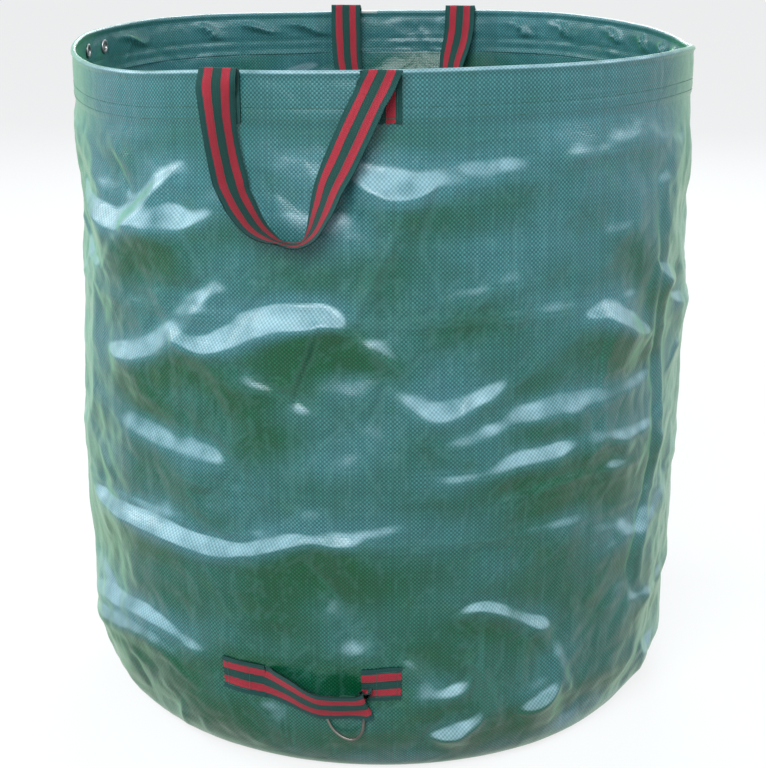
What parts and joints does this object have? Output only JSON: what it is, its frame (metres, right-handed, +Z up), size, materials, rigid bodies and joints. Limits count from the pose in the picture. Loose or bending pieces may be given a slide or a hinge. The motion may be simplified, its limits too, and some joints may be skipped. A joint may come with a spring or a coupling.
{
  "type": "leaf bag",
  "caption": "Round open-topped woven cloth bag for garden leaves, with a springy hoop in its hemmed mouth, striped webbing handles at the rim, a slack one low on the front and a wire ring.",
  "frame": {"origin": "middle of the underside of the base, on the floor", "axes": "+Z up through the mouth, -Y towards the front with the low handle and the ring"},
  "size_m": [0.702, 0.7396, 0.7662],
  "materials": {
    "cloth": "laminated plain weave, glossy",
    "binding_tape": "woven tape, matte",
    "thread": "spun thread",
    "webbing": "woven webbing with two red stripes",
    "hoop_coating": "smooth coating",
    "ferrule_steel": "plain",
    "eyelet_metal": "white, slightly worn",
    "ring_steel": "dull zinc"
  },
  "bodies": {
    "root": {"base_panel": "cloth", "base_seam_binding": "binding_tape", "wall_lower": "cloth", "wall_upper": "cloth", "side_seam_lower": "cloth", "side_seam_upper": "cloth", "lower_handle_end_left": "webbing", "lower_handle_end_right": "webbing", "lower_handle_stitch_left": "thread", "lower_handle_stitch_right": "thread", "ring_tab": "binding_tape"},
    "rim": {"rim_hem": "cloth", "mouth_hoop": "hoop_coating", "hoop_ferrule": "ferrule_steel", "eyelet_1": "eyelet_metal", "eyelet_2": "eyelet_metal", "eyelet_washer_1": "eyelet_metal", "eyelet_washer_2": "eyelet_metal", "hem_thread_upper": "thread", "hem_thread_lower": "thread", "front_handle_end_left": "webbing", "front_handle_end_right": "webbing", "front_handle_stitch_left": "thread", "front_handle_stitch_right": "thread", "back_handle_end_left": "webbing", "back_handle_end_right": "webbing", "back_handle_stitch_left": "thread", "back_handle_stitch_right": "thread"},
    "front_handle": {"front_handle_strap": "webbing"},
    "back_handle": {"back_handle_strap": "webbing"},
    "lower_handle": {"lower_handle_strap": "webbing"},
    "ring": {"hanging_ring": "ring_steel"}
  },
  "joints": [
    {"name": "mouth_lower", "type": "slide", "parent": "root", "child": "rim", "axis": [0, 0, -1], "range_m": [0, 0.36], "deforming": ["wall_upper", "side_seam_upper"]},
    {"name": "front_handle_swing", "type": "hinge", "parent": "rim", "child": "front_handle", "pos_m": [-0.08017, -0.33912, 0.7629], "axis": [-0.9732, 0.23, 0], "range_deg": [0, 262]},
    {"name": "back_handle_swing", "type": "hinge", "parent": "rim", "child": "back_handle", "pos_m": [0.02613, 0.32474, 0.766], "axis": [-0.9968, 0.0802, 0], "range_deg": [0, 255]},
    {"name": "lower_handle_swing", "type": "hinge", "parent": "root", "child": "lower_handle", "pos_m": [-0.07579, -0.33631, 0.1443], "axis": [-0.9755, 0.2198, 0], "range_deg": [0, 140]},
    {"name": "ring_swing", "type": "hinge", "parent": "root", "child": "ring", "pos_m": [-0.04223, -0.34205, 0.088], "axis": [-0.9755, 0.2198, 0], "range_deg": [-5, 45]}
  ]
}
